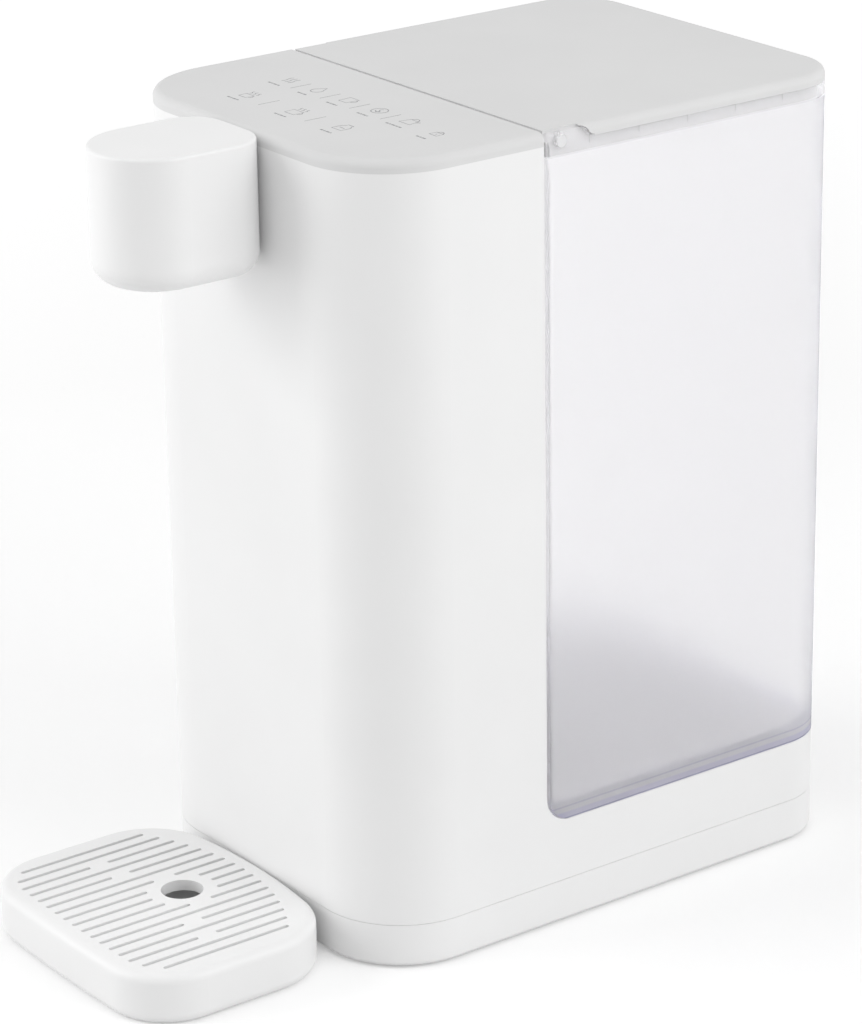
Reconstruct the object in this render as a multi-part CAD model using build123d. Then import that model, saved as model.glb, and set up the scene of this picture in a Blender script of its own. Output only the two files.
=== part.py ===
from build123d import *
import os
from math import atan, cos, degrees, pi, sin, sqrt

# Counter-top hot water dispenser: a column with spout and touch panel, a clear lift-off tank with
# a hinged lid behind it, and a drip tray in front.
# Millimetres, +Z up, front towards -Y. The origin lies on the worktop, under the middle of the whole.

os.makedirs("parts", exist_ok=True)

# Body
body_width = 153.0
body_depth = 215.0
body_height = 300.0
front_corner = 33.5
back_corner = 23.0
wall = 2.5
column_depth = 74.5
base_height = 16.6
seat_height = 40.7
bay_corner = 10.3
base_round = 2.0

# Fits and seams
seam_gap = 0.15
lip_clearance = 0.15
lip_thickness = 1.5
lip_height = 3.0
seat_clearance = 0.05
slip_clearance = 0.2
press_clearance = 0.03
running_clearance = 0.05

# Feet and base screws
foot_radius = 9.0
foot_proud = 0.8
foot_sink = 1.2
foot_inset = 16.0
screw_radius = 1.75
screw_head_radius = 3.5
screw_head_height = 2.4
screw_length = 20.0
screw_inset = 15.0
screw_back_inset = 46.0
counterbore_depth = 5.0
boss_radius = 5.0
standoff_height = 12.0

# Control panel and touch board
panel_thickness = 4.8
panel_round = 3.0
board_thickness = 1.6
touch_board_width = 104.0
touch_board_depth = 46.0
touch_post_height = 3.0
touch_post_radius = 3.0
board_margin = 5.0

# Spout
spout_radius = 22.5
spout_reach = 57.0
spout_height = 48.5
spout_back_corner = 14.5
spout_round = 8.5
spout_edge = 1.2
insert_margin = 1.5
insert_thickness = 2.2
insert_recess = 0.6
insert_skirt = 6.0
nozzle_radius = 4.5
nozzle_bore = 3.0
nozzle_drop = 3.0
nozzle_flange_radius = 8.0
nozzle_flange = 1.5
spout_screw_spread = 8.7
spout_screw_length = 10.0
spout_screw_radius = 1.5
spout_screw_head = 3.0
spout_boss_radius = 3.0

# Water line
hose_radius = 4.0
hose_bore = 2.5
hose_bend = 14.0
hose_room = 1.5
spigot_length = 8.0
spigot_bore = 1.6
pump_y_in = 36.0
pump_radius = 20.0
pump_length = 26.0
motor_radius = 15.0
motor_length = 42.0
cushion_thickness = 4.0
pump_foot_depth = 28.0
heater_radius = 21.0
heater_wall = 4.0
heater_bottom = 100.0
heater_headroom = 55.2
cap_thickness = 8.0
cap_overlap = 4.0
cap_rim = 2.0
clamp_width = 12.0
clamp_band = 2.4
clamp_inset = 30.0
clamp_arm = 20.0
clamp_plate = 3.0
clamp_span = 44.0
cutout_radius = 8.0
cutout_thickness = 6.0
sensor_radius = 2.5
sensor_length = 14.0

# Power board and cord gland
power_board_width = 40.0
power_board_height = 120.0
power_board_gap = 6.0
power_board_drop = 66.0
spacer_height = 5.0
spacer_radius = 3.5
relay_height = 16.0
relay_width = 22.0
relay_length = 30.0
gland_margin = 0.5
gland_radius = 6.0
gland_bore = 3.6
gland_flange_radius = 8.0
gland_flange = 3.0
gland_inside = 10.0

# Tank
tank_wall = 2.5
tank_floor = 4.0
tank_gap = 1.4
tank_corner = 9.8
tank_inner_round = 5.0
front_wall_drop = 9.2
valve_setback = 26.6
valve_boss_radius = 14.0
valve_boss_depth = 9.0
valve_boss_wall = 2.5
valve_web = 2.5
valve_port_radius = 5.0

# Tank valve
stem_radius = 2.5
poppet_radius = 8.5
poppet_thickness = 2.0
poppet_travel = 3.0
poppet_seal_thickness = 1.2
stem_below = 8.2
stem_above = 13.5
spring_radius = 4.1
spring_wire = 0.4
spring_turns = 4
spring_wire_sides = 6
filter_radius = 18.0
filter_ring = 2.5
filter_height = 11.5
filter_top = 2.0
filter_ribs = 12
filter_rib_width = 2.0
filter_rib_depth = 1.6
filter_hub_radius = 4.5
filter_hub_drop = 7.0

# Docking socket
dock_clearance = 1.4
dock_wall = 3.6
dock_floor_height = 20.0
dock_flange = 2.5
dock_flange_reach = 4.0
dock_seal_clearance = 0.3
dock_seal_height = 3.0
dock_seal_drop = 3.5
dock_port_height = 27.0

# Lid and hinge
lid_edge = 4.5
lid_round = 2.8
lid_seam = 1.4
lid_fit = 0.5
lid_skirt = 5.5
lid_skirt_wall = 1.8
ear_length = 14.8
ear_run = 6.0
ear_gap = 0.5
ear_drop = 0.9
ear_round = 1.0
pin_radius = 2.2
pin_setback = 6.6
pin_drop = 4.2
pin_grip = 6.0
pin_recess = 0.3
knuckle_radius = 4.2
knuckle_length = 8.0
rib_pitch = 22.0
rib_width = 1.0
rib_height = 3.0
rib_proud = 0.3

# Drip tray and grille
tray_width = 117.0
tray_reach = 88.0
tray_gap = 0.5
tray_height = 19.5
tray_wall = 2.0
tray_floor = 2.0
tray_round = 4.0
tray_front_bow = 2.0
tray_back_bow = 7.0
tray_front_corner = 25.0
tray_back_corner = 28.0
tongue_width = 26.0
tongue_height = 4.0
tongue_lift = 6.0
tongue_length = 8.0
tongue_clearance = 0.3
grille_thickness = 4.2
grille_round = 3.5
grille_lip = 2.5
grille_lip_wall = 1.5
grille_fit = 0.3
slot_rows = 17
slot_pitch = 6.0
slot_width = 1.8
slot_margin = 6.5
slot_back_radius = 92.0
bridge_length = 7.5
bridged_rows = (-6, -4, 4, 6)
drain_radius = 7.8
drain_land = 5.0

# Places worked out from the sizes above
front_y = (tray_reach - body_depth) / 2
back_y = front_y + body_depth
column_back = front_y + column_depth
base_z = foot_proud
seam_z = base_z + base_height
seat_z = base_z + seat_height
top_z = base_z + body_height
panel_z = top_z - panel_thickness
rim_z = top_z - lid_edge
ear_z = top_z - ear_drop
side_x = body_width / 2
floor_z = base_z + wall
roof_z = seat_z - wall
spout_axis_y = front_y - spout_reach + spout_radius
spout_z = top_z - spout_height
hose_z = (spout_z + spout_round + top_z) / 2
gland_x = side_x - back_corner - gland_flange_radius - gland_margin
gland_z = (seam_z + lip_height + roof_z) / 2
power_board_x = wall + power_board_gap + power_board_width / 2 - side_x
power_board_z = panel_z - power_board_drop - power_board_height / 2
pump_y = front_y + pump_y_in
dock_port_z = base_z + dock_port_height
dock_radius = valve_boss_radius + dock_clearance + dock_wall
heater_z = base_z + heater_bottom
heater_top = panel_z - heater_headroom
tank_z = seat_z + seat_clearance
tank_front = column_back + tank_gap
valve_y = tank_front + valve_setback
lid_front = column_back + lid_seam
pin_y = lid_front + pin_setback
pin_z = top_z - pin_drop
valve_seat_z = tank_z - valve_boss_depth + valve_web
poppet_z = valve_seat_z + poppet_travel + poppet_seal_thickness
filter_z = tank_z + tank_floor
filter_top_z = filter_z + filter_height
spigot_radius = hose_bore - running_clearance
tray_front = front_y - tray_reach
tray_back = front_y - tray_gap
tray_rim = tray_height - grille_thickness


def between(plan, low, high):
    """A level outline raised from one height to another."""
    return extrude(Pos(0, 0, low) * plan, high - low)


def post(x, y, low, high, radius):
    """An upright round bar."""
    return Pos(x, y, (low + high) / 2) * Cylinder(radius, high - low)


def bar_x(y, z, low, high, radius):
    """A round bar along X."""
    return Pos((low + high) / 2, y, z) * Rot(0, 90, 0) * Cylinder(radius, high - low)


def bar_y(x, z, low, high, radius):
    """A round bar along Y."""
    return Pos(x, (low + high) / 2, z) * Rot(90, 0, 0) * Cylinder(radius, high - low)


def block(x_low, x_high, y_low, y_high, z_low, z_high):
    """A box given by its faces."""
    middle = Pos((x_low + x_high) / 2, (y_low + y_high) / 2, (z_low + z_high) / 2)
    return middle * Box(x_high - x_low, y_high - y_low, z_high - z_low)


def save(node, *solids):
    """Writes one node, of one solid or of a group of separate solids."""
    shape = solids[0] if len(solids) == 1 else Compound(children=list(solids))
    export_step(shape, f"parts/{node}.step")


def body_plan(inset=0.0):
    """The body's outline seen from above, with large front corners and smaller back ones."""
    middle = Pos(0, (front_y + back_y) / 2)
    plan = middle * Rectangle(body_width - 2 * inset, body_depth - 2 * inset)
    plan = fillet(plan.vertices().group_by(Axis.Y)[0], front_corner - inset)
    return fillet(plan.vertices().group_by(Axis.Y)[-1], back_corner - inset)


def crop(low, high):
    """A band across the body between two depths."""
    return Pos(0, (low + high) / 2) * Rectangle(2 * body_width, high - low)


def column_plan(inset=0.0):
    """The front part of the body's outline, which carries the panel."""
    return body_plan(inset) & crop(front_y - wall, column_back - inset)


def tank_plan(front, inset=0.0):
    """The rear part of the body's outline, which the tank and the lid fill."""
    return body_plan(inset) & crop(front, back_y + wall)


def spout_plan(inset=0.0):
    """The spout's outline: a half round front, straight sides and rounded back corners."""
    radius = spout_radius - inset
    back = front_y - inset
    depth = back - spout_axis_y
    plan = Pos(0, spout_axis_y + depth / 2) * Rectangle(2 * radius, depth)
    corner = max(spout_back_corner - inset, spout_edge)
    plan = fillet(plan.vertices().group_by(Axis.Y)[-1], corner)
    return plan + Pos(0, spout_axis_y) * Circle(radius)


def tray_plan(inset=0.0):
    """The tray's outline: straight sides, bowed front and back edges, round corners."""
    half = tray_width / 2
    front_side = tray_front + tray_front_bow
    back_side = tray_back - tray_back_bow
    edges = [
        ThreePointArc((-half, front_side), (0, tray_front), (half, front_side)),
        Line((half, front_side), (half, back_side)),
        ThreePointArc((half, back_side), (0, tray_back), (-half, back_side)),
        Line((-half, back_side), (-half, front_side)),
    ]
    plan = make_face(edges)
    plan = fillet(plan.vertices().group_by(Axis.Y)[0], tray_front_corner)
    plan = fillet(plan.vertices().group_by(Axis.Y)[-1], tray_back_corner)
    return offset(plan, -inset) if inset else plan


def ear_profile(gap=0.0, reach=0.0):
    """Side view of a hinge ear, open above, its S-shaped rear end grown by a gap."""
    rise = ear_z - rim_z
    bend = (ear_run ** 2 + rise ** 2) / (4 * rise)
    turn = degrees(2 * atan(rise / ear_run))
    start = lid_front + ear_length
    end = start + ear_run
    low = rim_z - front_wall_drop - reach
    front = lid_front - reach
    edges = [
        Line((front, low), (front, top_z + gap)),
        Line((front, top_z + gap), (start, top_z + gap)),
        Line((start, top_z + gap), (start, ear_z + gap)),
        CenterArc((start, ear_z - bend), bend + gap, 90, -turn),
        CenterArc((end, rim_z + bend), bend - gap, 270 - turn, turn),
        Line((end, rim_z + gap), (end, low)),
        Line((end, low), (front, low)),
    ]
    return Plane.YZ * make_face(edges)


def on_both_sides(profile, thickness):
    """A side profile given a thickness at the body's left and right faces."""
    plate = extrude(profile, thickness)
    return Pos(side_x - thickness, 0, 0) * plate + Pos(-side_x, 0, 0) * plate


def corner_spots(inset, front, back):
    """Four places near the body's sides, at two depths."""
    x = side_x - inset
    return [(way * x, y) for way in (-1, 1) for y in (front, back)]


def screw(x, y, head_low, length, radius, head_radius):
    """An upright screw with its head below."""
    head_top = head_low + screw_head_height
    return post(x, y, head_low, head_top, head_radius) + post(x, y, head_top, head_top + length, radius)


screw_spots = corner_spots(screw_inset, column_back + screw_inset, back_y - screw_back_inset)
foot_spots = corner_spots(foot_inset + foot_radius, front_y + front_corner, back_y - back_corner)


def make_base_cover():
    pan = between(body_plan(), base_z, seam_z - seam_gap / 2)
    pan = fillet(pan.edges().group_by(Axis.Z)[0], base_round)
    pan += between(body_plan(wall + lip_clearance), floor_z, seam_z + lip_height)
    pan -= between(body_plan(wall + lip_thickness), floor_z, seam_z + lip_height)
    head_top = base_z + counterbore_depth
    for x, y in screw_spots:
        pan += post(x, y, base_z, base_z + standoff_height, boss_radius)
        pan -= post(x, y, base_z, head_top, screw_head_radius + slip_clearance)
        pan -= post(x, y, head_top, base_z + standoff_height, screw_radius + slip_clearance)
    for x, y in foot_spots:
        pan -= post(x, y, base_z, base_z + foot_sink, foot_radius + slip_clearance)
    half = tongue_width / 2 + tongue_clearance
    low = tongue_lift - tongue_clearance
    high = tongue_lift + tongue_height + tongue_clearance
    pan -= block(-half, half, front_y, front_y + 2 * (wall + lip_thickness), low, high)
    save("base_cover", pan)
    save("rubber_feet", *[post(x, y, 0, base_z + foot_sink, foot_radius) for x, y in foot_spots])
    head_low = head_top - screw_head_height
    screws = [screw(x, y, head_low, screw_length, screw_radius, screw_head_radius) for x, y in screw_spots]
    save("base_screws", *screws)


def make_main_housing():
    shell = between(body_plan(), seam_z + seam_gap / 2, seat_z) + between(column_plan(), seat_z, panel_z)
    inner_corner = shell.edges().filter_by(Axis.X).sort_by_distance((0, column_back, seat_z))[0]
    shell = fillet(inner_corner, bay_corner)
    shell -= between(body_plan(wall), base_z, roof_z) + between(column_plan(wall), base_z, panel_z)
    for x, y in screw_spots:
        shell += post(x, y, base_z + standoff_height, roof_z, boss_radius)
        shell -= post(x, y, base_z, roof_z, screw_radius + running_clearance)
    shell -= post(0, valve_y, roof_z, seat_z, valve_boss_radius + dock_clearance)
    shell -= bar_y(0, hose_z, front_y, front_y + wall, hose_radius + hose_room)
    for way in (-1, 1):
        hole = spout_screw_radius + slip_clearance
        shell -= bar_y(0, hose_z + way * spout_screw_spread, front_y, front_y + wall, hole)
    shell -= bar_y(gland_x, gland_z, back_y - wall, back_y, gland_radius + slip_clearance)
    save("main_housing", shell)


def make_cord_gland():
    gland = bar_y(gland_x, gland_z, back_y - wall - gland_inside, back_y, gland_radius)
    gland += bar_y(gland_x, gland_z, back_y - wall - gland_flange, back_y - wall, gland_flange_radius)
    gland -= bar_y(gland_x, gland_z, back_y - wall - gland_inside, back_y, gland_bore)
    save("cord_gland", gland)


def make_control_panel():
    plate = between(column_plan(), panel_z, top_z)
    rim = plate.edges().group_by(Axis.Z)[-1].sort_by(Axis.Y)[:-1]
    plate = fillet(rim, panel_round)
    inset = wall + lip_clearance
    lip = between(column_plan(inset), panel_z - lip_height, panel_z)
    plate += lip - between(column_plan(inset + lip_thickness), panel_z - lip_height, panel_z)
    middle_y = front_y + column_depth / 2
    across = touch_board_width / 2 - board_margin
    along = touch_board_depth / 2 - board_margin
    spots = [(i * across, middle_y + j * along) for i in (-1, 1) for j in (-1, 1)]
    board_top = panel_z - touch_post_height
    for x, y in spots:
        plate += post(x, y, board_top, panel_z, touch_post_radius)
    save("control_panel", plate)
    board = Pos(0, middle_y) * RectangleRounded(touch_board_width, touch_board_depth, board_margin)
    save("touch_board", between(board, board_top - board_thickness, board_top))


def make_spout():
    shell = between(spout_plan(), spout_z, top_z)
    shell = fillet(shell.edges().group_by(Axis.Z)[0], spout_round)
    shell = fillet(shell.edges().group_by(Axis.Z)[-1], spout_edge)
    hollow = between(spout_plan(wall), spout_z + wall, top_z - wall)
    shell -= chamfer(hollow.edges().group_by(Axis.Z)[0], spout_round - wall)
    opening = spout_round + insert_margin
    shell -= between(spout_plan(opening), spout_z, spout_z + spout_round)
    shell -= bar_y(0, hose_z, front_y - wall, front_y, hose_radius + hose_room)
    screw_end = front_y + wall - spout_screw_length
    screws = []
    for way in (-1, 1):
        z = hose_z + way * spout_screw_spread
        shell += bar_y(0, z, screw_end, front_y - wall, spout_boss_radius)
        shell -= bar_y(0, z, screw_end, front_y, spout_screw_radius + running_clearance)
        head = bar_y(0, z, front_y + wall, front_y + wall + screw_head_height, spout_screw_head)
        screws.append(head + bar_y(0, z, screw_end, front_y + wall, spout_screw_radius))
    save("spout_shell", shell)
    save("spout_screws", *screws)
    low = spout_z + insert_recess
    high = low + insert_thickness
    outer = opening + slip_clearance
    insert = between(spout_plan(outer), low, low + insert_skirt)
    insert -= between(spout_plan(outer + insert_thickness), high, low + insert_skirt)
    insert -= post(0, spout_axis_y, low, high, nozzle_radius + slip_clearance)
    save("spout_insert", insert)
    flange_top = high + nozzle_flange
    nozzle = post(0, spout_axis_y, spout_z - nozzle_drop, high, nozzle_radius)
    nozzle += post(0, spout_axis_y, high, flange_top, nozzle_flange_radius)
    nozzle += post(0, spout_axis_y, flange_top, flange_top + spigot_length, spigot_radius)
    nozzle -= post(0, spout_axis_y, spout_z - nozzle_drop, high, nozzle_bore)
    nozzle -= post(0, spout_axis_y, high, flange_top + spigot_length, spigot_bore)
    save("outlet_nozzle", nozzle)
    return flange_top


def make_pump():
    lift = floor_z + cushion_thickness
    half_foot = pump_foot_depth / 2
    x_low = -pump_length / 2
    x_high = pump_length / 2 + motor_length
    pump = bar_x(pump_y, dock_port_z, x_low, -x_low, pump_radius)
    pump += bar_x(pump_y, dock_port_z, -x_low, x_high, motor_radius)
    pump += block(x_low, x_high, pump_y - half_foot, pump_y + half_foot, lift, dock_port_z - motor_radius / 2)
    shoulder = pump_radius + spigot_length
    pump += bar_y(0, dock_port_z, pump_y, pump_y + shoulder, spigot_radius)
    pump += post(0, pump_y, dock_port_z, dock_port_z + shoulder, spigot_radius)
    pump -= bar_y(0, dock_port_z, pump_y, pump_y + shoulder, spigot_bore)
    pump -= post(0, pump_y, dock_port_z, dock_port_z + shoulder, spigot_bore)
    save("pump", pump)
    save("pump_cushion", block(x_low, x_high, pump_y - half_foot, pump_y + half_foot, floor_z, lift))


def make_heater():
    tube = post(0, pump_y, heater_z, heater_top, heater_radius)
    tube -= post(0, pump_y, heater_z, heater_top, heater_radius - heater_wall)
    save("flow_heater", tube)
    caps = []
    for end, way in ((heater_z, -1), (heater_top, 1)):
        inner = end - way * cap_overlap
        outer = end + way * cap_thickness
        tip = outer + way * spigot_length
        cap = post(0, pump_y, min(inner, outer), max(inner, outer), heater_radius + cap_rim)
        cap += post(0, pump_y, min(end, tip), max(end, tip), spigot_radius)
        cap -= post(0, pump_y, min(inner, end), max(inner, end), heater_radius + press_clearance)
        cap -= post(0, pump_y, min(end, tip), max(end, tip), spigot_bore)
        caps.append(cap)
    save("heater_caps", *caps)
    rear = column_back - wall
    clamps = []
    for z in (heater_z + clamp_inset, heater_top - clamp_inset):
        low, high = z - clamp_width / 2, z + clamp_width / 2
        band = heater_radius + press_clearance
        clamp = post(0, pump_y, low, high, band + clamp_band)
        clamp += block(-clamp_arm / 2, clamp_arm / 2, pump_y, rear, low, high)
        clamp += block(-clamp_span / 2, clamp_span / 2, rear - clamp_plate, rear, low, high)
        clamps.append(clamp - post(0, pump_y, low, high, band))
    save("heater_clamps", *clamps)
    middle = (heater_z + heater_top) / 2
    face = pump_y - heater_radius
    cutout = bar_y(0, middle, face - cutout_thickness, pump_y, cutout_radius)
    save("thermal_cutout", cutout - post(0, pump_y, heater_z, heater_top, heater_radius + press_clearance))
    seat_x = heater_radius + cap_rim
    sensor_z = heater_top + cap_thickness / 2
    sensor = bar_x(pump_y, sensor_z, 0, seat_x + sensor_length, sensor_radius)
    save("temperature_sensor", sensor - post(0, pump_y, heater_z, sensor_z + cap_thickness, seat_x))


def hose(*points):
    """A hose with its bore, along straight runs joined by wide bends."""
    path = FilletPolyline(*points, radius=hose_bend) if len(points) > 2 else Line(*points)
    ring = Circle(hose_radius) - Circle(hose_bore)
    return sweep(Plane(path @ 0, z_dir=path % 0) * ring, path)


def make_hoses(nozzle_top):
    pump_top = dock_port_z + pump_radius
    pump_face = pump_y + pump_radius
    save("inlet_hose", hose((0, pump_face, dock_port_z), (0, valve_y - dock_radius, dock_port_z)))
    save("riser_hose", hose((0, pump_y, pump_top), (0, pump_y, heater_z - cap_thickness)))
    route = [
        (0, pump_y, heater_top + cap_thickness),
        (0, pump_y, hose_z),
        (0, spout_axis_y, hose_z),
        (0, spout_axis_y, nozzle_top),
    ]
    save("outlet_hose", hose(*route))


def make_power_board():
    rear = column_back - wall
    face = rear - spacer_height
    across = power_board_width / 2 - board_margin
    up = power_board_height / 2 - board_margin
    spots = [(power_board_x + i * across, power_board_z + j * up) for i in (-1, 1) for j in (-1, 1)]
    save("board_spacers", *[bar_y(x, z, face, rear, spacer_radius) for x, z in spots])
    half_width = power_board_width / 2
    half_height = power_board_height / 2
    x_low, x_high = power_board_x - half_width, power_board_x + half_width
    board = block(x_low, x_high, face - board_thickness, face, power_board_z - half_height,
                  power_board_z + half_height)
    front = face - board_thickness
    for way in (-1, 1):
        z = power_board_z + way * relay_length
        x = power_board_x
        board += block(x - relay_width / 2, x + relay_width / 2, front - relay_height, front,
                       z - relay_length / 2, z + relay_length / 2)
    save("power_board", board)


def make_docking_socket():
    bore = valve_boss_radius + dock_clearance
    low = base_z + dock_floor_height
    socket = post(0, valve_y, low - wall, roof_z, dock_radius)
    socket += post(0, valve_y, roof_z - dock_flange, roof_z, dock_radius + dock_flange_reach)
    tip = valve_y - dock_radius - spigot_length
    socket += bar_y(0, dock_port_z, tip, valve_y, spigot_radius)
    socket -= post(0, valve_y, low, roof_z, bore)
    socket -= bar_y(0, dock_port_z, tip, valve_y, spigot_bore)
    stem_end = poppet_z - stem_below
    socket += post(0, valve_y, low, stem_end - running_clearance, stem_radius)
    save("docking_socket", socket)
    seal_top = seat_z - dock_seal_drop
    seal = post(0, valve_y, seal_top - dock_seal_height, seal_top, bore)
    seal -= post(0, valve_y, seal_top - dock_seal_height, seal_top, valve_boss_radius + dock_seal_clearance)
    save("docking_seal", seal)


def make_tank():
    tank = between(tank_plan(tank_front), tank_z, rim_z)
    low_edge = tank.edges().filter_by(Axis.X).sort_by_distance((0, tank_front, tank_z))[0]
    tank = fillet(low_edge, tank_corner)
    cavity = between(tank_plan(tank_front + tank_wall, tank_wall), filter_z, rim_z)
    tank -= fillet(cavity.edges().group_by(Axis.Z)[0], tank_inner_round)
    opening = side_x - tank_wall
    tank -= block(-opening, opening, tank_front, tank_front + tank_wall, rim_z - front_wall_drop, rim_z)
    crown = between(tank_plan(lid_front), tank_z, ear_z)
    crown = fillet(crown.edges().group_by(Axis.Z)[-1].sort_by(Axis.Y)[1:], ear_round)
    tank += on_both_sides(ear_profile(), tank_wall) & crown
    tank -= bar_x(pin_y, pin_z, -side_x, side_x, pin_radius + running_clearance)
    boss_low = tank_z - valve_boss_depth
    tank += post(0, valve_y, boss_low, filter_z, valve_boss_radius)
    tank -= post(0, valve_y, valve_seat_z, filter_z, valve_boss_radius - valve_boss_wall)
    tank -= post(0, valve_y, boss_low, valve_seat_z, valve_port_radius)
    save("water_tank", tank)


def make_filter():
    cage = post(0, valve_y, filter_z, filter_z + filter_top, filter_radius)
    cage -= post(0, valve_y, filter_z, filter_z + filter_top, filter_radius - 2 * filter_ring)
    top_radius = filter_radius - filter_ring
    cage += post(0, valve_y, filter_top_z - filter_top, filter_top_z, top_radius)
    rib_radius = top_radius - filter_ring / 2
    for index in range(filter_ribs):
        angle = 360 * index / filter_ribs
        rib = Box(filter_rib_width, filter_rib_depth, filter_height)
        height = Pos(0, valve_y, filter_z + filter_height / 2)
        cage += height * Rot(0, 0, angle) * Pos(0, rib_radius, 0) * rib
    hub_low = filter_top_z - filter_hub_drop
    cage += post(0, valve_y, hub_low, filter_top_z, filter_hub_radius)
    guide_top = filter_top_z - filter_top
    cage -= post(0, valve_y, hub_low, guide_top, stem_radius + running_clearance)
    save("tank_filter", cage)
    return hub_low


def make_poppet():
    head_top = poppet_z + poppet_thickness
    poppet = post(0, valve_y, poppet_z, head_top, poppet_radius)
    poppet += post(0, valve_y, poppet_z - stem_below, head_top + stem_above, stem_radius)
    save("valve_poppet", poppet)
    seal_low = poppet_z - poppet_seal_thickness
    seal = post(0, valve_y, seal_low, poppet_z, poppet_radius)
    save("poppet_seal", seal - post(0, valve_y, seal_low, poppet_z, stem_radius + press_clearance))
    return head_top


def coil(radius, wire, low, high, turns):
    """A helical spring between two heights, on pairs of tangent arcs for each quarter turn."""
    start = low + wire + running_clearance
    rise = high - low - 2 * (wire + running_clearance)
    steps = 4 * turns
    climb = rise / (2 * pi * turns)

    def on_helix(step):
        angle = step * pi / 2
        place = Vector(radius * cos(angle), radius * sin(angle), start + rise * step / steps)
        heading = Vector(-radius * sin(angle), radius * cos(angle), climb).normalized()
        return place, heading

    edges = []
    for step in range(steps):
        first, first_way = on_helix(step)
        last, last_way = on_helix(step + 1)
        chord = last - first
        square = 2 * (1 - first_way.dot(last_way))
        linear = 2 * chord.dot(first_way + last_way)
        reach = (-linear + sqrt(linear ** 2 + 4 * square * chord.dot(chord))) / (2 * square)
        first_knee = first + first_way * reach
        last_knee = last - last_way * reach
        middle = (first_knee + last_knee) * 0.5
        edges.append(TangentArc(first, middle, tangent=first_way))
        edges.append(TangentArc(middle, last, tangent=last_knee - first_knee))
    path = Wire(edges)
    place, heading = on_helix(0)
    print("spring: least gap between turns", round(rise / turns - 2 * wire, 2))
    section = RegularPolygon(wire, spring_wire_sides)
    return sweep(Plane(place, z_dir=heading) * section, path)


def make_spring(low, high):
    save("valve_spring", Pos(0, valve_y, 0) * coil(spring_radius, spring_wire, low, high, spring_turns))


def make_lid():
    low = rim_z + seat_clearance
    lid = between(tank_plan(lid_front), low, top_z)
    lid = fillet(lid.edges().group_by(Axis.Z)[-1].sort_by(Axis.Y)[1:], lid_round)
    lid -= on_both_sides(ear_profile(ear_gap, front_wall_drop), tank_wall + lid_fit)
    inset = tank_wall + lid_fit
    skirt_front = tank_front + inset
    skirt_low = rim_z - lid_skirt
    inner = inset + lid_skirt_wall
    skirt = between(tank_plan(skirt_front, inset), skirt_low, low)
    lid += skirt - between(tank_plan(skirt_front + lid_skirt_wall, inner), skirt_low, low)
    face = side_x - inset
    first_rib = lid_front + ear_length + ear_run - rib_width / 2
    rib_run = back_y - back_corner - first_rib
    for index in range(int(rib_run // rib_pitch) + 1):
        y = first_rib + index * rib_pitch
        for way in (-1, 1):
            outer = way * (face + rib_proud)
            inside = way * (face - rib_proud)
            lid += block(min(outer, inside), max(outer, inside), y, y + rib_width, rim_z - rib_height, low)
    for way in (-1, 1):
        root = way * (face - knuckle_length)
        end = way * face
        lid += bar_x(pin_y, pin_z, min(root, end), max(root, end), knuckle_radius)
        grip = way * (face - pin_grip)
        lid -= bar_x(pin_y, pin_z, min(grip, end), max(grip, end), pin_radius + press_clearance)
    save("tank_lid", lid)
    tip = side_x - pin_recess
    right_pin = bar_x(pin_y, pin_z, face - pin_grip, tip, pin_radius)
    left_pin = bar_x(pin_y, pin_z, -tip, pin_grip - face, pin_radius)
    save("hinge_pins", right_pin, left_pin)


def make_tray():
    dish = between(tray_plan(), 0, tray_rim)
    dish = fillet(dish.edges().group_by(Axis.Z)[0], tray_round)
    hollow = between(tray_plan(tray_wall), tray_floor, tray_rim)
    dish -= chamfer(hollow.edges().group_by(Axis.Z)[0], tray_round - tray_wall)
    half = tongue_width / 2
    tip = front_y + tongue_length
    tongue = block(-half, half, tray_back - tray_wall, tip, tongue_lift, tongue_lift + tongue_height)
    dish += tongue - between(tray_plan(tray_wall / 2), 0, tray_rim)
    save("drip_tray", dish)


def slot_runs(x, low, high, row):
    """The free stretches of one slot row, left by the drain hole's land and by the bridges."""
    land = drain_radius + drain_land
    if abs(x) < land:
        half = sqrt(land ** 2 - x ** 2)
        return [(low, spout_axis_y - half), (spout_axis_y + half, high)]
    if row in bridged_rows:
        middle = (low + high) / 2
        return [(low, middle - bridge_length / 2), (middle + bridge_length / 2, high)]
    return [(low, high)]


def make_grille():
    plate = between(tray_plan(), tray_rim, tray_height)
    plate = fillet(plate.edges().group_by(Axis.Z)[-1], grille_round)
    lip_inset = tray_wall + grille_fit
    lip = between(tray_plan(lip_inset), tray_rim - grille_lip, tray_rim)
    plate += lip - between(tray_plan(lip_inset + grille_lip_wall), tray_rim - grille_lip, tray_rim)
    field_back = tray_back - slot_margin
    field = tray_plan(slot_margin) & Pos(0, field_back - slot_back_radius) * Circle(slot_back_radius)
    slots = []
    for row in range(-(slot_rows // 2), slot_rows // 2 + 1):
        x = row * slot_pitch
        crossing = field.intersect(Line((x, tray_front), (x, tray_back)))
        ends = [vertex.Y for edge in crossing for vertex in edge.vertices()]
        for low, high in slot_runs(x, min(ends), max(ends), row):
            slots.append(Pos(x, (low + high) / 2) * SlotOverall(high - low, slot_width, rotation=90))
    plate -= [between(slot, tray_rim, tray_height) for slot in slots]
    plate -= post(0, spout_axis_y, tray_rim, tray_height, drain_radius)
    save("drip_grille", plate)


make_base_cover()
make_main_housing()
make_cord_gland()
make_control_panel()
nozzle_shoulder = make_spout()
make_pump()
make_heater()
make_hoses(nozzle_shoulder)
make_power_board()
make_docking_socket()
make_tank()
spring_top = make_filter()
spring_bottom = make_poppet()
make_spring(spring_bottom, spring_top)
make_lid()
make_tray()
make_grille()
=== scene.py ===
from math import cos, pi, radians, sin

import bmesh
import bpy
from mathutils import Matrix, Vector


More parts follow.
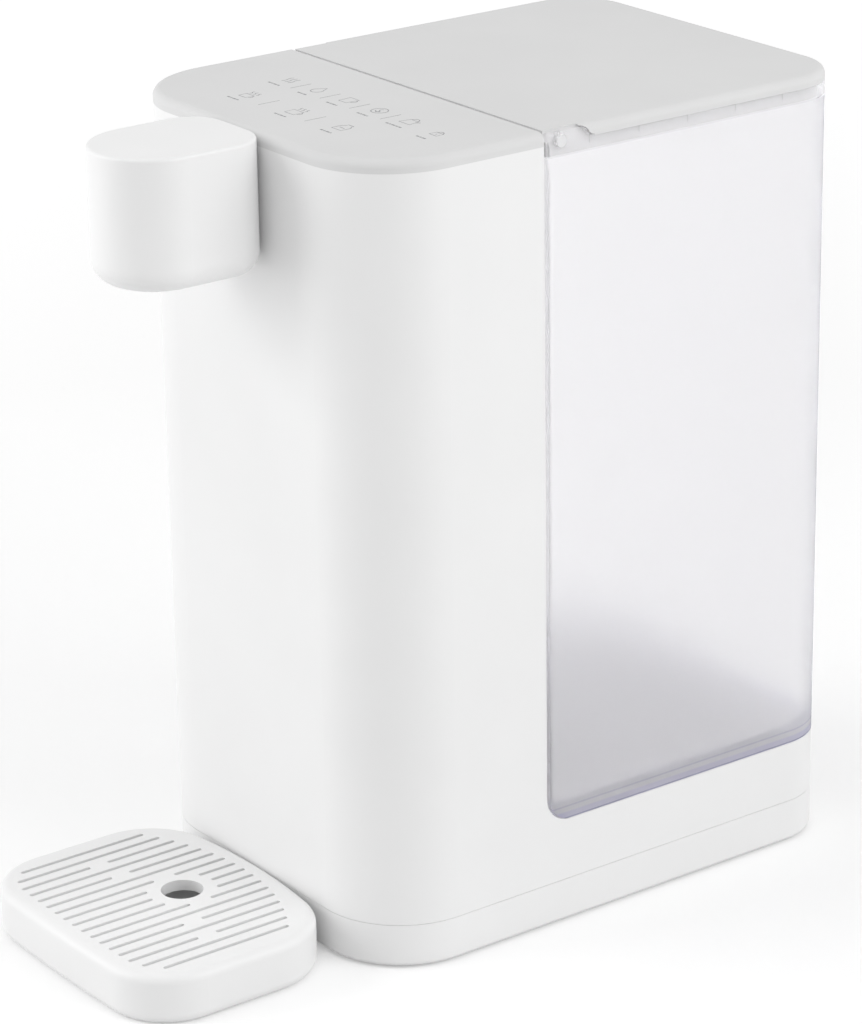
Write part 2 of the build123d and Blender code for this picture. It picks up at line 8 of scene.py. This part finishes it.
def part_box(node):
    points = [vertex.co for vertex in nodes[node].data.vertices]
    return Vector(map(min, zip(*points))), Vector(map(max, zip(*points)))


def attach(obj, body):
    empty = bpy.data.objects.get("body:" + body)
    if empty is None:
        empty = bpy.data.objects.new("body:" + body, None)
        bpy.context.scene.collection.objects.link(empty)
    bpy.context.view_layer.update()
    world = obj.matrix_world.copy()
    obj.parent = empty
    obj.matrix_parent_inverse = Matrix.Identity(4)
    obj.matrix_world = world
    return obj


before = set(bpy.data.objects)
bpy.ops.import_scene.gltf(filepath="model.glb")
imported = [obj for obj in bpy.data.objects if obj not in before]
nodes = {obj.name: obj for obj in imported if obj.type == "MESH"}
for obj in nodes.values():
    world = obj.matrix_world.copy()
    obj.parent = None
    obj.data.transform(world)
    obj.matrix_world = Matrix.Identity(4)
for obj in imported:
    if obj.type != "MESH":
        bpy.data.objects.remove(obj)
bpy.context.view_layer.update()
scene = bpy.context.scene
scene.view_settings.view_transform = "Standard"
MM = 0.001
WHITE = (1, 1, 1, 1)


# Shader nodes

# The span that nearly all of a noise's values lie in
NOISE_LOW, NOISE_HIGH = 0.3, 0.7


def material(name):
    """A new node material with its shader and a texture space in metres."""
    made = bpy.data.materials.new(name)
    made.use_nodes = True
    tree = made.node_tree
    shader = tree.nodes["Principled BSDF"]
    space = tree.nodes.new("ShaderNodeTexCoord")
    return made, tree, shader, space.outputs["Object"]


def noise(tree, space, scale, detail=2.0, roughness=0.5):
    """Soft noise; scale counts features in a metre."""
    node = tree.nodes.new("ShaderNodeTexNoise")
    node.inputs["Scale"].default_value = scale
    node.inputs["Detail"].default_value = detail
    node.inputs["Roughness"].default_value = roughness
    tree.links.new(space, node.inputs["Vector"])
    return node.outputs["Fac"]


def ranged(tree, value, low, high, at_low, at_high):
    """A value brought evenly from one range to another, and held beyond its ends."""
    node = tree.nodes.new("ShaderNodeMapRange")
    node.inputs["From Min"].default_value = low
    node.inputs["From Max"].default_value = high
    node.inputs["To Min"].default_value = at_low
    node.inputs["To Max"].default_value = at_high
    tree.links.new(value, node.inputs["Value"])
    return node.outputs["Result"]


def maths(tree, operation, first, second):
    """One operation on two values."""
    node = tree.nodes.new("ShaderNodeMath")
    node.operation = operation
    tree.links.new(first, node.inputs[0])
    tree.links.new(second, node.inputs[1])
    return node.outputs[0]


def ramp(tree, value, stops):
    """Colours for a value from nought to one, given as rising positions with a colour each."""
    node = tree.nodes.new("ShaderNodeValToRGB")
    elements = node.color_ramp.elements
    while len(elements) < len(stops):
        elements.new(1.0)
    for element, (position, colour) in zip(elements, stops):
        element.position = position
        element.color = (*colour, 1)
    tree.links.new(value, node.inputs["Fac"])
    return node.outputs["Color"]


def spread(tree, value, middle, swing):
    """Noise brought to plain numbers either side of a middle one."""
    return ranged(tree, value, NOISE_LOW, NOISE_HIGH, middle - swing, middle + swing)


def tint(tree, value, dark, light):
    """Noise brought to a range of colours."""
    return ramp(tree, value, [(NOISE_LOW, dark), (NOISE_HIGH, light)])


def by_height(tree, height, foot, stops):
    """Colours at heights above a foot, blended evenly from one to the next."""
    top = stops[-1][0]
    share = ranged(tree, height, foot, foot + top, 0, 1)
    return ramp(tree, share, [(level / top, colour) for level, colour in stops])


def bump(tree, shader, value, height):
    """Raises the surface by a noise of a height in metres."""
    node = tree.nodes.new("ShaderNodeBump")
    node.inputs["Distance"].default_value = height
    tree.links.new(value, node.inputs["Height"])
    tree.links.new(node.outputs["Normal"], shader.inputs["Normal"])


# Materials

MOTTLE_SCALE = 16
GLOSS_SCALE, GLOSS_SWING = 55, 0.04
STREAK_SHADE, STREAK_SWING, STREAK_DEPTH = 0.86, 0.08, 0.008 * MM
FROST_SCALE, FROST_SWING = 25, 0.02
FROST_GRAIN, FROST_DEPTH = 900, 0.004 * MM
# Lower than a solid plastic's, so that the bends in the walls stay pale
TANK_IOR = 1.15


def moulded(name, colour, rough, grain=1400, depth=0.01 * MM, mottle=0.012, specular=0.5):
    """Moulded plastic or rubber: faint mottling, uneven gloss and a fine spark-eroded grain."""
    made, tree, shader, space = material(name)
    dark = [part * (1 - mottle) for part in colour]
    light = [min(1.0, part * (1 + mottle)) for part in colour]
    mottling = tint(tree, noise(tree, space, MOTTLE_SCALE), dark, light)
    gloss = spread(tree, noise(tree, space, GLOSS_SCALE, 3), rough, GLOSS_SWING)
    tree.links.new(mottling, shader.inputs["Base Color"])
    tree.links.new(gloss, shader.inputs["Roughness"])
    bump(tree, shader, noise(tree, space, grain, 2, 0.6), depth)
    shader.inputs["Specular IOR Level"].default_value = specular
    return made


def brushed(name, colour, rough, stretch):
    """Drawn or brushed steel, with fine streaks along one way."""
    made, tree, shader, space = material(name)
    mapping = tree.nodes.new("ShaderNodeMapping")
    mapping.inputs["Scale"].default_value = stretch
    tree.links.new(space, mapping.inputs["Vector"])
    streaks = noise(tree, mapping.outputs["Vector"], 1, 3, 0.6)
    dark = [part * STREAK_SHADE for part in colour]
    tree.links.new(tint(tree, streaks, dark, colour), shader.inputs["Base Color"])
    tree.links.new(spread(tree, streaks, rough, STREAK_SWING), shader.inputs["Roughness"])
    bump(tree, shader, streaks, STREAK_DEPTH)
    shader.inputs["Metallic"].default_value = 1.0
    return made


def clear_plastic(name, rough, clarity, absorption, density, foot, lines, rim, rim_frost):
    """Frosted plastic, tinted through its thickness, with painted refraction at its foot (lines
    and a band standing in for light bent in its thick floor) and a clearer rim.
    """
    made, tree, shader, space = material(name)
    parts = tree.nodes.new("ShaderNodeSeparateXYZ")
    tree.links.new(space, parts.inputs["Vector"])
    height = parts.outputs["Z"]
    # The base colour carries the painted refraction at the foot, set by height
    tree.links.new(by_height(tree, height, foot, lines), shader.inputs["Base Color"])
    shader.inputs["Transmission Weight"].default_value = clarity
    shader.inputs["IOR"].default_value = TANK_IOR
    frost = spread(tree, noise(tree, space, FROST_SCALE), rough, FROST_SWING)
    share = ranged(tree, height, *rim, 1.0, rim_frost)
    tree.links.new(maths(tree, "MULTIPLY", frost, share), shader.inputs["Roughness"])
    bump(tree, shader, noise(tree, space, FROST_GRAIN), FROST_DEPTH)
    volume = tree.nodes.new("ShaderNodeVolumeAbsorption")
    volume.inputs["Color"].default_value = (*absorption, 1)
    volume.inputs["Density"].default_value = density
    tree.links.new(volume.outputs["Volume"], tree.nodes["Material Output"].inputs["Volume"])
    return made


white = moulded("white_moulded_plastic", (0.87, 0.87, 0.87), 0.42)
grey = moulded("grey_panel_plastic", (0.725, 0.725, 0.725), 0.58, specular=0.15)
pin_grey = moulded("hinge_pin_plastic", (0.80, 0.80, 0.81), 0.6, specular=0.15)
spout_grey = moulded("spout_insert_plastic", (0.34, 0.35, 0.37), 0.5)
ivory = moulded("inner_plastic", (0.74, 0.74, 0.74), 0.45)
dark = moulded("dark_inner_plastic", (0.022, 0.022, 0.024), 0.5, mottle=0.08)
board = moulded("circuit_board", (0.012, 0.075, 0.03), 0.4, grain=700, mottle=0.15)
rubber = moulded(
    "black_rubber", (0.018, 0.018, 0.019), 0.72, grain=2200, depth=0.03 * MM, mottle=0.1
)
silicone = moulded("silicone", (0.56, 0.55, 0.51), 0.55, mottle=0.03)
steel = brushed("brushed_steel", (0.62, 0.63, 0.65), 0.32, stretch=(2600, 2600, 90))
ink = moulded("panel_print", (0.30, 0.30, 0.31), 0.6, mottle=0.05)

# The tank: its valve's boss hangs below its foot, and the lid's skirt shows through its rim
tank_low, tank_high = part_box("water_tank")
VALVE_BOSS = 9 * MM
PLAIN = (1.0, 0.997, 1.0)
# Painted refraction: a dark violet line, a violet band and a grey line at the tank's foot stand
# in for light bent in its thick floor, not for the plastic's own colour
PAINTED_EDGE_REFRACTION = (0.36, 0.35, 0.52)
PAINTED_FOOT_REFRACTION = (0.80, 0.79, 0.93)
PAINTED_FLOOR_REFRACTION = (0.78, 0.78, 0.84)
clear = clear_plastic(
    "clear_tank_plastic",
    rough=0.45,
    clarity=0.84,
    absorption=(0.70, 0.68, 0.96),
    density=9,
    foot=tank_low.z + VALVE_BOSS,
    # Painted refraction at the foot, by height above it: dark line, violet band, grey line, then
    # the plain colour
    lines=[
        (0.0, PLAIN),
        (0.15 * MM, PAINTED_EDGE_REFRACTION),
        (0.5 * MM, PAINTED_EDGE_REFRACTION),
        (0.8 * MM, PAINTED_FOOT_REFRACTION),
        (2.4 * MM, PAINTED_FOOT_REFRACTION),
        (3.2 * MM, PLAIN),
        (4.6 * MM, PLAIN),
        (4.8 * MM, PAINTED_FLOOR_REFRACTION),
        (5.2 * MM, PAINTED_FLOOR_REFRACTION),
        (5.5 * MM, PLAIN),
    ],
    rim=(tank_high.z - 8.9 * MM, tank_high.z - 8.3 * MM),
    rim_frost=0.3,
)

finishes = {
    white: ("base_cover", "main_housing", "spout_shell", "drip_tray", "drip_grille"),
    grey: ("control_panel", "tank_lid"),
    pin_grey: ("hinge_pins",),
    spout_grey: ("spout_insert", "outlet_nozzle"),
    ivory: ("docking_socket", "tank_filter", "valve_poppet", "board_spacers"),
    dark: ("pump", "heater_caps", "thermal_cutout"),
    board: ("touch_board", "power_board"),
    rubber: ("rubber_feet", "cord_gland", "pump_cushion"),
    silicone: ("inlet_hose", "riser_hose", "outlet_hose", "docking_seal", "poppet_seal"),
    steel: (
        "base_screws", "spout_screws", "flow_heater", "heater_clamps", "temperature_sensor",
        "valve_spring",
    ),
    clear: ("water_tank",),
}
for finish, names in finishes.items():
    for name in names:
        nodes[name].data.materials.clear()
        nodes[name].data.materials.append(finish)


# Printed marks on the touch panel, in millimetres, read from the front

panel_low, panel_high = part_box("control_panel")
panel_front = panel_low.y / MM
panel_top = panel_high.z
LINE_WIDTH, DASH_WIDTH, DIVIDER_WIDTH = 0.34, 0.8, 0.28
# How far the ink stands on the panel, and how far it reaches into it
INK_RISE, INK_ROOT = 0.03, 0.02
WAVE_STEPS = 12
STEAM_PITCH, STEAM_SWING = 2.0, 0.45
DASH_LENGTHS, DASH_GAP, SHORTEST_DASH = (1.5, 0.8, 1.9, 1.1), 0.5, 0.4
# The dashes' place below the middle of the symbol
DASH_Y = -7.4
DIVIDER_REACH = 4.5


def arc(x, y, radius, start, end, steps):
    """Points on a circle between two angles in degrees."""
    turns = [radians(start + (end - start) * i / steps) for i in range(steps + 1)]
    return [(x + radius * cos(t), y + radius * sin(t)) for t in turns]


def wave(x, low, high, swing):
    """Points on an upright wavy line."""
    rise = [i / WAVE_STEPS for i in range(WAVE_STEPS + 1)]
    return [(x + swing * sin(2 * pi * t), low + (high - low) * t) for t in rise]


# Each symbol is a list of lines, with its points and whether it closes

def steam(low, high):
    """Three wavy lines side by side."""
    places = (-STEAM_PITCH, 0.0, STEAM_PITCH)
    return [(wave(x, low, high, STEAM_SWING), False) for x in places]


def drop(size):
    """A water drop with its point upwards."""
    return [([(0, 1.5 * size)] + arc(0, -0.45 * size, size, 150, 390, 20), True)]


def mug(width, height, low):
    """A mug that narrows towards its foot, with its handle on the right."""
    half = width / 2
    foot = half * 0.86
    cup = [(-half, low + height), (-foot, low), (foot, low), (half, low + height)]
    grip = arc(half * 0.94, low + height * 0.55, height * 0.26, 80, -80, 10)
    return [(cup, True), (grip, False)]


def ring_and_leaf():
    """A ring round a curved stem and a small bow."""
    return [
        (arc(0, 0, 3.1, 0, 345, 24), True),
        (wave(0, -1.9, 1.9, 0.7), False),
        (arc(0, 0, 1.5, 200, 340, 8), False),
    ]


def pot():
    """A pot with a round handle on top and a spout on the right."""
    side = [(-3.0, -3.0), (3.0, -3.0), (2.2, 1.6), (-2.2, 1.6)]
    handle = arc(0, 1.6, 1.7, 0, 180, 12)
    return [(side, True), (handle, False), ([(2.5, 0.0), (3.7, 1.4)], False)]


def padlock():
    """A closed padlock with its keyhole."""
    case = [(-2.0, -2.6), (2.0, -2.6), (2.0, 0.6), (-2.0, 0.6)]
    shackle = arc(0, 0.6, 1.35, 0, 180, 12)
    return [(case, True), (shackle, False), ([(0, -1.4), (0, -0.6)], False)]


def jar():
    """A jar with a neck, and the line of what it holds."""
    side = [
        (-2.7, -3.1), (2.7, -3.1), (2.7, 1.2), (1.5, 2.2),
        (1.5, 3.3), (-1.5, 3.3), (-1.5, 2.2), (-2.7, 1.2),
    ]
    return [(side, True), ([(-1.4, -0.6), (1.4, -0.6)], False)]


def underline(length):
    """A broken bar in place of a word, as dashes of uneven length."""
    dashes, start, index = [], -length / 2, 0
    while start < length / 2 - SHORTEST_DASH:
        end = min(start + DASH_LENGTHS[index % len(DASH_LENGTHS)], length / 2)
        dashes.append([(start, DASH_Y), (end, DASH_Y)])
        start, index = end + DASH_GAP, index + 1
    return dashes


def stroke(mesh, points, closed, place, width):
    """Adds one printed line, a thin flat band along the points."""
    points = [Vector(p) + Vector(place) for p in points]
    count = len(points)
    rings = []
    for i, point in enumerate(points):
        before = points[i - 1] if closed or i else point
        after = points[(i + 1) % count] if closed or i < count - 1 else point
        along = (after - before).normalized()
        side = Vector((-along.y, along.x)) * width / 2
        corners = ((side, INK_RISE), (-side, INK_RISE), (-side, -INK_ROOT), (side, -INK_ROOT))
        ring = []
        for offset, height in corners:
            spot = (point + offset) * MM
            ring.append(mesh.verts.new((spot.x, spot.y, panel_top + height * MM)))
        rings.append(ring)
    for i in range(count if closed else count - 1):
        a, b = rings[i], rings[(i + 1) % count]
        for k in range(4):
            mesh.faces.new((a[k], a[k - 1], b[k - 1], b[k]))
    if not closed:
        mesh.faces.new(rings[0])
        mesh.faces.new(reversed(rings[-1]))


def printed(name, strokes):
    """One mark on the panel: a list of lines, each with its place and width."""
    mesh = bmesh.new()
    for points, closed, place, width in strokes:
        stroke(mesh, points, closed, place, width)
    bmesh.ops.recalc_face_normals(mesh, faces=mesh.faces)
    data = bpy.data.meshes.new(name)
    mesh.to_mesh(data)
    mesh.free()
    data.materials.append(ink)
    piece = bpy.data.objects.new(name, data)
    scene.collection.objects.link(piece)
    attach(piece, "body")


# Each key has its name, its place, its symbol and the length of the dashes under it
rear_y, front_row_y = panel_front + 48.7, panel_front + 26.3
small_cup = mug(5.0, 3.6, -3.6) + steam(1.0, 3.4)
large_cup = mug(6.0, 4.4, -3.8) + steam(1.6, 3.8)
keys = [
    ("mark_steam", (-37.0, rear_y), steam(-2.8, 2.8), 7.0),
    ("mark_drop", (-19.4, rear_y), drop(2.3), 5.6),
    ("mark_mug", (-1.4, rear_y), mug(5.2, 5.4, -2.8), 6.2),
    ("mark_leaf", (17.0, rear_y), ring_and_leaf(), 6.2),
    ("mark_pot", (35.4, rear_y), pot(), 9.0),
    ("mark_lock", (54.0, rear_y - 2), padlock(), 5.6),
    ("mark_small_cup", (-29.8, front_row_y), small_cup, 7.0),
    ("mark_large_cup", (-0.6, front_row_y), large_cup, 7.0),
    ("mark_jar", (26.8, front_row_y), jar(), 6.4),
]
for name, place, lines, length in keys:
    strokes = [(points, closed, place, LINE_WIDTH) for points, closed in lines]
    strokes += [(dash, False, place, DASH_WIDTH) for dash in underline(length)]
    printed(name, strokes)

dividers = [(x, rear_y - 1.8) for x in (-28.3, -10.2, 7.6, 25.9)]
dividers += [(x, front_row_y - 1.0) for x in (-16.8, 11.4)]
upright = [(0, -DIVIDER_REACH), (0, DIVIDER_REACH)]
for index, place in enumerate(dividers):
    printed(f"mark_divider_{index}", [(upright, False, place, DIVIDER_WIDTH)])


# Floor and light

FLOOR_REACH = 20.0
FLOOR_GREY = 0.78
# The floor's own glow to the eye grows from the object outwards, in metres, to a white ground
GLOW_FROM, GLOW_TO = 0.6, 2.0
GLOW_NEAR, GLOW_FAR = 0.27, 0.56
SKY_LIGHT, SKY_SEEN = 0.6, 1.0
LAMP_AIM = Vector((0, 0, 0.15))


def seen_by_eye(tree):
    """One where the camera looks, straight, in a mirror or through clear plastic, else nought."""
    path = tree.nodes.new("ShaderNodeLightPath")
    seen = path.outputs["Is Camera Ray"]
    for ray in ("Is Glossy Ray", "Is Transmission Ray"):
        seen = maths(tree, "MAXIMUM", seen, path.outputs[ray])
    return seen


def outward(azimuth, elevation):
    """The way from the object to a place at angles in degrees, with the front at nought."""
    a, e = radians(azimuth), radians(elevation)
    return Vector((sin(a) * cos(e), -cos(a) * cos(e), sin(e)))


def softbox(name, azimuth, elevation, distance, size, watts):
    """A large soft lamp that faces the middle of the object."""
    away = outward(azimuth, elevation)
    data = bpy.data.lights.new(name, "AREA")
    data.shape = "RECTANGLE"
    data.size, data.size_y = size
    data.energy = watts
    lamp = bpy.data.objects.new(name, data)
    lamp.location = LAMP_AIM + away * distance
    lamp.rotation_mode = "QUATERNION"
    lamp.rotation_quaternion = away.to_track_quat("Z", "Y")
    scene.collection.objects.link(lamp)


mesh = bpy.data.meshes.new("floor")
signs = ((-1, -1), (1, -1), (1, 1), (-1, 1))
mesh.from_pydata([(x * FLOOR_REACH, y * FLOOR_REACH, 0) for x, y in signs], [], [(0, 1, 2, 3)])
floor = bpy.data.objects.new("floor", mesh)
scene.collection.objects.link(floor)
floor_paint, tree, shader, space = material("floor_paint")
shader.inputs["Base Color"].default_value = (FLOOR_GREY, FLOOR_GREY, FLOOR_GREY, 1)
shader.inputs["Roughness"].default_value = 0.9
shader.inputs["Specular IOR Level"].default_value = 0.1
shader.inputs["Emission Color"].default_value = WHITE
distance = tree.nodes.new("ShaderNodeVectorMath")
distance.operation = "LENGTH"
tree.links.new(space, distance.inputs[0])
glow = ranged(tree, distance.outputs["Value"], GLOW_FROM, GLOW_TO, GLOW_NEAR, GLOW_FAR)
seen_glow = maths(tree, "MULTIPLY", seen_by_eye(tree), glow)
tree.links.new(seen_glow, shader.inputs["Emission Strength"])
mesh.materials.append(floor_paint)

world = bpy.data.worlds.new("studio")
scene.world = world
world.use_nodes = True
tree = world.node_tree
sky = tree.nodes["Background"]
sky.inputs["Color"].default_value = WHITE
strength = ranged(tree, seen_by_eye(tree), 0, 1, SKY_LIGHT, SKY_SEEN)
tree.links.new(strength, sky.inputs["Strength"])

softbox("key_left", azimuth=-35, elevation=18, distance=2.0, size=(1.4, 1.6), watts=18)
softbox("fill_right", azimuth=115, elevation=26, distance=2.0, size=(1.4, 1.4), watts=15.5)
softbox("top", azimuth=20, elevation=80, distance=1.8, size=(1.6, 1.6), watts=3.5)


# Camera, fitted to the photograph's edges

PHOTO_HEIGHT, FOCAL_PIXELS = 1024, 3970.15
SENSOR = 36.0
CAMERA_PLACE = (1.1047, -0.79468, 0.66086)
CAMERA_ROLL = radians(-0.9)

away = outward(azimuth=53.69, elevation=20.84)
right = (-away).cross(Vector((0, 0, 1))).normalized()
up = right.cross(-away)
tilted_right = right * cos(CAMERA_ROLL) + up * sin(CAMERA_ROLL)
tilted_up = up * cos(CAMERA_ROLL) - right * sin(CAMERA_ROLL)
lens = bpy.data.cameras.new("camera")
lens.sensor_width = SENSOR
lens.lens = FOCAL_PIXELS / PHOTO_HEIGHT * SENSOR
camera = bpy.data.objects.new("camera", lens)
turn = Matrix((tilted_right, tilted_up, away)).transposed()
camera.matrix_world = Matrix.Translation(CAMERA_PLACE) @ turn.to_4x4()
scene.collection.objects.link(camera)
scene.camera = camera
